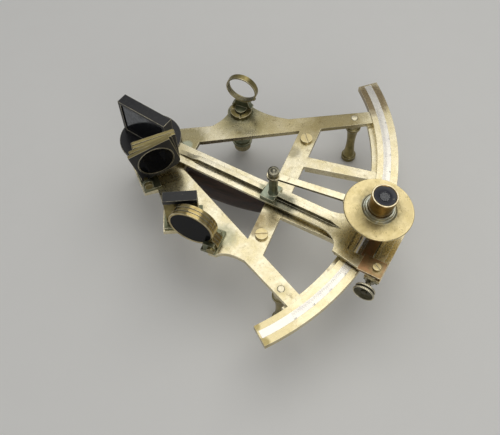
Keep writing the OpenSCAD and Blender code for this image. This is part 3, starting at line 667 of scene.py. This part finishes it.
class SEXTANT_OT_stage(bpy.types.Operator):
    """Sets the table, the soft lamps and the camera"""
    bl_idname = "sextant.stage"
    bl_label = "Stage"

    def execute(self, context):
        scene = context.scene
        sizes = scene.sextant_sizes
        clear()
        bpy.ops.mesh.primitive_plane_add(size=TABLE_SIZE, location=(0, 0, 0))
        table = context.object
        table.name = "table"
        material, tree, shader, place = fresh("pale_matt_table", Roughness=0.8)
        grain = add(tree, "TexNoise", {"Vector": place, "Scale": 1000 / 25, "Detail": 4.0})
        tone = add(tree, "MapRange", {VALUE: grain.outputs[0], TO_LOW: 0.0, TO_HIGH: 0.06})
        mix = add(tree, "Mix", {SHARE: tone.outputs[0], UNDER: paint("table"),
                                OVER: paint("#d0cdc7")}, data_type='RGBA')
        tree.links.new(mix.outputs[2], shader.inputs["Base Color"])
        table.data.materials.append(material)

        world = bpy.data.worlds.new("soft_room")
        scene.world = world
        world.use_nodes = True
        room = world.node_tree.nodes["Background"]
        room.inputs["Color"].default_value = paint(ROOM_COLOUR)
        room.inputs["Strength"].default_value = ROOM_STRENGTH

        for (name, way, far, side, twist, shift), power in zip(PANELS, (sizes.sky, sizes.fill)):
            way = Vector(way)
            clear()
            bpy.ops.object.light_add(type='AREA')
            lamp = context.object
            lamp.name = name
            lamp.matrix_world = (Matrix.Translation(PANEL_AIM + way.normalized() * far)
                                 @ way.to_track_quat('Z', 'Y').to_matrix().to_4x4()
                                 @ turn(twist, 'Z') @ Matrix.Translation(shift))
            lamp.data.size = side
            lamp.data.energy = power
            lamp.data.color = linear(PANEL_COLOUR)

        clear()
        bpy.ops.object.camera_add(location=PIVOT + CAMERA_PLACE * MM)
        camera = context.object
        camera.name = "camera"
        right = CAMERA_RIGHT.normalized()
        back = -CAMERA_WAY.normalized()
        up = back.cross(right).normalized()
        camera.rotation_euler = Matrix((right, up, back)).transposed().to_euler()
        camera.data.lens = CAMERA_LENS
        camera.data.sensor_width = 36
        camera.data.clip_start = 0.01
        scene.camera = camera
        scene.view_settings.view_transform = 'Standard'
        return {'FINISHED'}


class SEXTANT_OT_frame(bpy.types.Operator):
    """Dresses the cast frame, its limb, its legs and the grip"""
    bl_idname = "sextant.cast_frame"
    bl_label = "Frame, legs and grip"

    def execute(self, context):
        fine = context.scene.sextant_sizes.fine_edge
        dress("cast_brass", "frame")
        dress("limb_brass", "arc_limb", width=fine)
        dress("leg_brass", "legs", width=fine)
        dress("turned_ebony", "grip", width=fine)
        dress("green_brass", "grip_bracket")
        dress("gold_brass", "bracket_screws")
        return {'FINISHED'}


# The limb's silver, in millimetres from the index axis and in degrees to each side of its middle.
SCALE_TOP = 1.0
SCALE_HALF = 32.5
LINE_START = 190.9
NUMERAL_FOOT = 196.5
LINE_HEIGHT = 0.03
# The limb's degrees are half degrees of arc, each in three parts.
DEGREE = 0.5
# Name, step in degrees of arc and outer end of each kind of line.
LINES = (("limb_lines_fine", DEGREE / 3, 193.0), ("limb_lines_degree", DEGREE, 193.9),
         ("limb_lines_five", 5 * DEGREE, 194.6))


def ring_of_lines(name, every, outer):
    """Cuts graduations on the limb: one line is laid down and arrayed about the index axis."""
    tick = bpy.context.scene.sextant_sizes.tick / MM
    piece = block(name, (-tick / 2, LINE_START, SCALE_TOP),
                  (tick / 2, outer, SCALE_TOP + LINE_HEIGHT), turn(180 - SCALE_HALF, 'Z'))
    bpy.ops.object.empty_add(rotation=(0, 0, math.radians(every)))
    step = bpy.context.object
    modify(piece, 'ARRAY', count=round(2 * SCALE_HALF / every) + 1, use_relative_offset=False,
           use_object_offset=True, offset_object=step)
    bpy.data.objects.remove(step)
    return settle(piece, PLACE)


class SEXTANT_OT_scale(bpy.types.Operator):
    """Lets the divided silver into the limb and cuts its numerals"""
    bl_idname = "sextant.silver_scale"
    bl_label = "Silver scale"

    def execute(self, context):
        dress("tarnished_silver", "silver_scale", width=0)
        marks = [ring_of_lines(*line) for line in LINES]
        for number in range(0, 140, 10):
            clear()
            bpy.ops.object.text_add()
            text = context.object
            text.data.body = str(number)
            text.data.size = context.scene.sextant_sizes.numeral
            text.data.align_x = 'CENTER'
            text.data.extrude = 0.012 * MM
            bpy.ops.object.convert(target='MESH')
            text.matrix_world = (turn(180 + SCALE_HALF - number * DEGREE, 'Z')
                                 @ spot(0, NUMERAL_FOOT, SCALE_TOP + 0.016) @ turn(180, 'Z'))
            bpy.ops.object.transform_apply(location=True, rotation=True, scale=True)
            marks.append(settle(text, PLACE))
        take(marks[0])
        for mark in marks[1:]:
            mark.select_set(True)
        bpy.ops.object.join()
        marks[0].name = "limb_graduations"
        fit(marks[0], "engravers_wax", "frame", "silver")
        return {'FINISHED'}


# The vernier, in millimetres from the index axis: the silver slopes from its foot to its head.
VERNIER_SPAN = 28
VERNIER_PARTS = 60
VERNIER_FOOT, VERNIER_FOOT_Z = 193.1, 1.6
VERNIER_HEAD, VERNIER_HEAD_Z = 190.9, 3.0


class SEXTANT_OT_arm(bpy.types.Operator):
    """Dresses the index arm, its axis, its head plate and the vernier"""
    bl_idname = "sextant.index_arm"
    bl_label = "Index arm and vernier"

    def execute(self, context):
        sizes = context.scene.sextant_sizes
        fine = sizes.fine_edge
        # The flank of the rib that faces the arm's -X side is darkened as painted shade.
        dress("arm_brass", "index_arm", soil_and_shade=sides(ARM, (-1, 0, 0), 5.5))
        dress("black_lacquer", "head_plate")
        dress("tarnished_silver", "vernier_scale", width=fine)
        dress("limb_brass", "outer_rail", width=fine)
        dress("green_brass", "index_axis", width=fine)
        dress("olive_brass", "axis_nut", width=fine)
        # The strip that closes the window on the far side of the silver.
        strip = block("window_strip", (-15.4, -204.8, 1.5), (15.4, -196.2, 2.7), ARM)
        ease(strip, fine)
        fit(strip, "copper_brass", "index_arm", "brass")
        tick = sizes.tick / MM
        slope = math.atan2(VERNIER_HEAD_Z - VERNIER_FOOT_Z, VERNIER_FOOT - VERNIER_HEAD)
        lines = block("vernier_lines", (-tick / 2, 0.2, 0), (tick / 2, 2.2, LINE_HEIGHT),
                      spot(-VERNIER_SPAN / 2, -VERNIER_FOOT, VERNIER_FOOT_Z)
                      @ turn(math.degrees(slope), 'X'))
        modify(lines, 'ARRAY', count=VERNIER_PARTS + 1, use_relative_offset=False,
               use_constant_offset=True,
               constant_offset_displace=(VERNIER_SPAN / VERNIER_PARTS * MM, 0, 0))
        settle(lines, ARM)
        fit(lines, "engravers_wax", "index_arm", "silver")
        return {'FINISHED'}


class SEXTANT_OT_index_mirror(bpy.types.Operator):
    """Dresses the index mirror's box, its glass and its screws"""
    bl_idname = "sextant.index_mirror"
    bl_label = "Index mirror"

    def execute(self, context):
        fine = context.scene.sextant_sizes.fine_edge
        dress("black_lacquer", "index_mirror_frame")
        dress("aged_mirror", "index_mirror_glass", width=fine)
        dress("gold_brass", "index_mirror_screws", width=fine)
        return {'FINISHED'}


class SEXTANT_OT_tangent(bpy.types.Operator):
    """Turns the tangent screw's double milled head and dresses its bearing, cap and clamp"""
    bl_idname = "sextant.tangent_screw"
    bl_label = "Tangent screw and clamp"

    def execute(self, context):
        fine = context.scene.sextant_sizes.fine_edge
        ridges = 88
        head = turned("tangent_head", [
            (1.2, 0.8), (2.0, 1.0), (2.4, 2.0), (5.0, 2.0), (6.6, 1.2), (7.4, 0.2), (7.7, 0),
            (8.0, 0), (8.3, 0.3), (8.3, 1.3), (8.0, 1.6), (6.4, 1.7), (5.7, 2.1), (5.7, 2.9),
            (6.2, 3.4), (7.5, 3.4), (7.8, 3.7), (7.8, 4.5), (7.5, 4.8), (4.6, 4.8), (4, 5.2),
            (4, 6.6), (2.5, 6.6), (2.5, 11.5), (4, 11.5), (4, 13.6), (2.5, 13.6), (2.5, 66.5)],
            TANGENT, ridges)
        mill(head, TANGENT, low=0.2, high=1.4, reach=8.0, segments=ridges)
        mill(head, TANGENT, low=3.6, high=4.6, reach=7.6, segments=ridges)
        # Fingers rub the rims, and the hollow of the face is darkened as painted shade.
        rims = band(TANGENT, reach=7.3, low=-1, high=5)
        hollow = band(TANGENT, reach=0, low=0.1, high=2.1)
        ease(head, 0, rub=rims, soil_and_shade=lambda face: hollow(face) and not rims(face))
        fit(head, "grey_brass", "tangent_screw", "brass", "tangent_screw")
        dress("green_brass", "tangent_bearing", width=fine)
        dress("copper_brass", "bearing_cap")
        dress("gold_brass", "cap_screw")
        dress("green_brass", "clamp_block")
        dress("olive_brass", "clamp_screw", width=fine)
        return {'FINISHED'}


class SEXTANT_OT_magnifier(bpy.types.Operator):
    """Turns the magnifier's post, disc and tube and dresses the arm that carries them"""
    bl_idname = "sextant.magnifier"
    bl_label = "Magnifier"

    def execute(self, context):
        fine = context.scene.sextant_sizes.fine_edge
        dress("green_brass", "magnifier_post")
        knob = turned("post_knob_turned", [
            (0.1, 0.1), (3.2, 0.1), (3.2, 1), (4.1, 1.3), (4.4, 1.7), (4.4, 4.3), (4.1, 4.8),
            (3.4, 5.0), (3.1, 4.7), (2.5, 4.7), (2.2, 5.2), (1.4, 5.8), (0.1, 6)], KNOB, 48)
        ease(knob, 0)
        fit(knob, "grey_brass", "index_arm", "brass", "post_knob")
        # The faces that look along the arm's -X side are darkened as painted shade.
        dress("arm_brass", "magnifier_arm", soil_and_shade=sides(ARM, (-1, 0, 0)))
        disc = turned("magnifier_dish", [
            (9.25, -4), (10.6, -4), (11, -3.6), (11, 0), (25.6, 0), (26, 0.4), (26, 1.2),
            (25.6, 1.6), (24.9, 1.6), (24.7, 1.5), (13.6, 1.8), (12.7, 2.2), (12.3, 3.0),
            (11.8, 3.5), (11.3, 3.5), (11.1, 4.4), (10.8, 5), (9.7, 5), (9.25, 4.6), (9.25, -4)],
            DISC, 96, hollow=True)
        ease(disc, 0)
        fit(disc, "gold_brass", "magnifier", "brass", "magnifier_disc")
        tube = turned("magnifier_barrel", [
            (8, -9), (9.2, -9), (9.2, 17.6), (9.5, 18.0), (9.7, 18.4), (9.7, 19.6), (9.4, 20),
            (8.6, 20), (8, 19.4), (8, -9)], DISC, 64, hollow=True)
        ease(tube, 0, rub=band(DISC, reach=8.4, low=19.9, high=21))
        fit(tube, "brown_brass", "magnifier_tube", "brass", "magnifier_tube")
        cap = turned("eyepiece_cup", [
            (3.6, 17), (8, 17), (8, 19.6), (7.4, 19.6), (5.6, 19.1), (4.6, 18.6), (4.3, 18.2),
            (4.0, 18.2), (3.6, 17.8), (3.6, 17)], DISC, 64, hollow=True)
        ease(cap, 0)
        fit(cap, "cup_lacquer", "magnifier_tube", "blackened", "eyepiece_cap")
        lens = dress("lens_glass", "magnifier_lens", width=fine)
        lens.name = "magnifier_lens_glass"
        return {'FINISHED'}


class SEXTANT_OT_horizon_mirror(bpy.types.Operator):
    """Dresses the horizon mirror, its base and its screws"""
    bl_idname = "sextant.horizon_mirror"
    bl_label = "Horizon mirror"

    def execute(self, context):
        fine = context.scene.sextant_sizes.fine_edge
        dress("green_brass", "horizon_base")
        dress("olive_brass", "horizon_mirror_frame", width=fine)
        dress("black_lacquer", "horizon_cap", width=fine)
        dress("aged_mirror", "horizon_mirror_glass", width=fine)
        dress("olive_brass", "horizon_screws", width=fine)
        return {'FINISHED'}


class SEXTANT_OT_index_shades(bpy.types.Operator):
    """Dresses the four square shades, their glasses, pin and bracket"""
    bl_idname = "sextant.index_shades"
    bl_label = "Index shades"

    def execute(self, context):
        fine = context.scene.sextant_sizes.fine_edge
        axis = Vector(JOINTS["index_shade_1_swing"]["axis"])

        def rim(face):
            return abs(face.normal.dot(axis)) < 0.3

        # The lacquer has gone from the thin rims of the frames.
        for number in range(1, 5):
            dress("worn_lacquer", f"index_shade_{number}", width=fine, rub=rim, soil_and_shade=rim)
            dress("dark_shade_glass", f"index_glass_{number}", width=fine)
        dress("green_brass", "index_shade_bracket", width=fine)
        dress("olive_brass", "index_shade_pin", width=fine)
        return {'FINISHED'}


class SEXTANT_OT_horizon_shades(bpy.types.Operator):
    """Dresses the three round shades, their glasses, pin and bracket"""
    bl_idname = "sextant.horizon_shades"
    bl_label = "Horizon shades"

    def execute(self, context):
        fine = context.scene.sextant_sizes.fine_edge
        for number in range(1, 4):
            dress("ring_brass", f"horizon_shade_{number}")
            dress("dark_shade_glass", f"horizon_glass_{number}", width=fine)
        dress("green_brass", "horizon_shade_bracket", width=fine)
        dress("olive_brass", "horizon_shade_pin", width=fine)
        return {'FINISHED'}


COLLAR_BORE = 12.3
THREAD_LENGTH = 4.6


class SEXTANT_OT_telescope_ring(bpy.types.Operator):
    """Dresses the telescope ring and its socket, and cuts the thread in the collar"""
    bl_idname = "sextant.telescope_ring"
    bl_label = "Telescope ring"

    def execute(self, context):
        sizes = context.scene.sextant_sizes
        fine = sizes.fine_edge
        dress("green_brass", "telescope_socket", width=fine)
        dress("olive_brass", "socket_nut")
        dress("green_brass", "telescope_stem")
        collar = turned("threaded_collar", [
            (COLLAR_BORE, 0), (12.9, 0), (13.3, 0.15), (13.45, 0.4), (13.45, 4.9), (13.2, 5.2),
            (12.5, 5.2), (COLLAR_BORE, 5.0), (COLLAR_BORE, 0)], COLLAR, 96, hollow=True)
        ease(collar, 0, rub=band(COLLAR, reach=0, low=-1, high=0.3))
        fit(collar, "olive_brass", "telescope_ring", "brass", "telescope_collar")
        dress("olive_brass", "collar_screws", "milled_nut", width=fine)
        # The thread is one small triangle carried round and along the bore.
        clear()
        pitch = sizes.thread_pitch
        turns = int(THREAD_LENGTH * MM / pitch)
        bpy.ops.mesh.primitive_circle_add(
            vertices=3, radius=0.2 * MM, location=((COLLAR_BORE - 0.04) * MM, 0, 0),
            rotation=(math.radians(90), 0, 0))
        thread = context.object
        thread.name = thread.data.name = "collar_thread"
        settle(thread, Matrix.Identity(4))
        modify(thread, 'SCREW', axis='Z', screw_offset=pitch, iterations=turns, steps=56,
               render_steps=56, use_merge_vertices=False)
        take(thread)
        bpy.ops.object.mode_set(mode='EDIT')
        bpy.ops.mesh.select_all(action='SELECT')
        bpy.ops.mesh.fill_holes(sides=4)
        bpy.ops.object.mode_set(mode='OBJECT')
        recalculate(thread)
        settle(thread, COLLAR @ spot(0, 0, 0.3))
        ease(thread, 0)
        fit(thread, "bright_thread", "telescope_ring", "brass")
        return {'FINISHED'}


OPERATORS = (
    SEXTANT_OT_stage, SEXTANT_OT_frame, SEXTANT_OT_scale, SEXTANT_OT_arm, SEXTANT_OT_index_mirror,
    SEXTANT_OT_tangent, SEXTANT_OT_magnifier, SEXTANT_OT_horizon_mirror, SEXTANT_OT_index_shades,
    SEXTANT_OT_horizon_shades, SEXTANT_OT_telescope_ring)


class SEXTANT_PT_pieces(bpy.types.Panel):
    """Lists the pieces of the sextant and the values that a user may change"""
    bl_idname = "SEXTANT_PT_pieces"
    bl_label = "Marine Sextant"
    bl_space_type = 'VIEW_3D'
    bl_region_type = 'UI'
    bl_category = "Sextant"

    def draw(self, context):
        layout = self.layout
        for operator in OPERATORS:
            layout.operator(operator.bl_idname)
        for group in (context.scene.sextant_sizes, context.scene.sextant_colours):
            for name in group.__annotations__:
                layout.prop(group, name)


CLASSES = (SextantSizes, SextantColours, *OPERATORS, SEXTANT_PT_pieces)


def register():
    for item in CLASSES:
        bpy.utils.register_class(item)
    bpy.types.Scene.sextant_sizes = bpy.props.PointerProperty(type=SextantSizes)
    bpy.types.Scene.sextant_colours = bpy.props.PointerProperty(type=SextantColours)


def unregister():
    del bpy.types.Scene.sextant_colours
    del bpy.types.Scene.sextant_sizes
    for item in reversed(CLASSES):
        bpy.utils.unregister_class(item)


def main():
    register()
    for operator in OPERATORS:
        group, name = operator.bl_idname.split(".")
        getattr(getattr(bpy.ops, group), name)()


if __name__ == "__main__":
    main()
